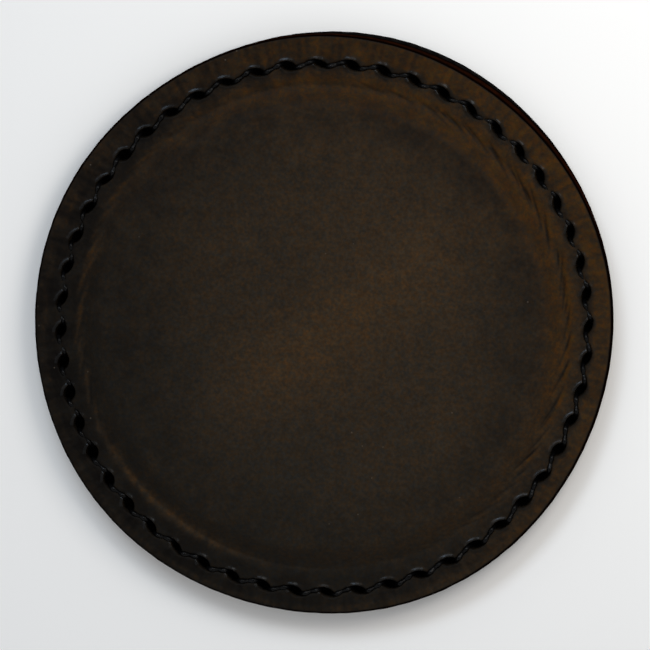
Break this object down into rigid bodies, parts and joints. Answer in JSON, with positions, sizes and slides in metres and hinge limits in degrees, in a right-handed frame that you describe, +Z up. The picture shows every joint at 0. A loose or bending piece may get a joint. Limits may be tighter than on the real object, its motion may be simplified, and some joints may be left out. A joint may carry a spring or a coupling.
{
  "type": "round stitched leather coaster",
  "caption": "Round coaster of dark brown oiled leather, hand stitched in black round its rim to a black leather back over a stiff, felt-padded board.",
  "frame": {"origin": "centre of the flat underside, on the surface that the coaster lies on", "axes": "+Z up through the coaster's thickness, from the black back to the brown face; +X passes through the middle of one stitch slit"},
  "size_m": [0.091, 0.091, 0.0064],
  "materials": {
    "face_leather": "oiled, semi-matte",
    "back_leather": "smooth, satin",
    "board": "matte",
    "felt": "matte",
    "waxed_thread": "waxed, satin"
  },
  "bodies": {
    "root": {"face_cover": "face_leather", "back_cover": "back_leather", "core_board": "board", "felt_pad": "felt", "seam_strand_a": "waxed_thread", "seam_strand_b": "waxed_thread"}
  },
  "joints": []
}
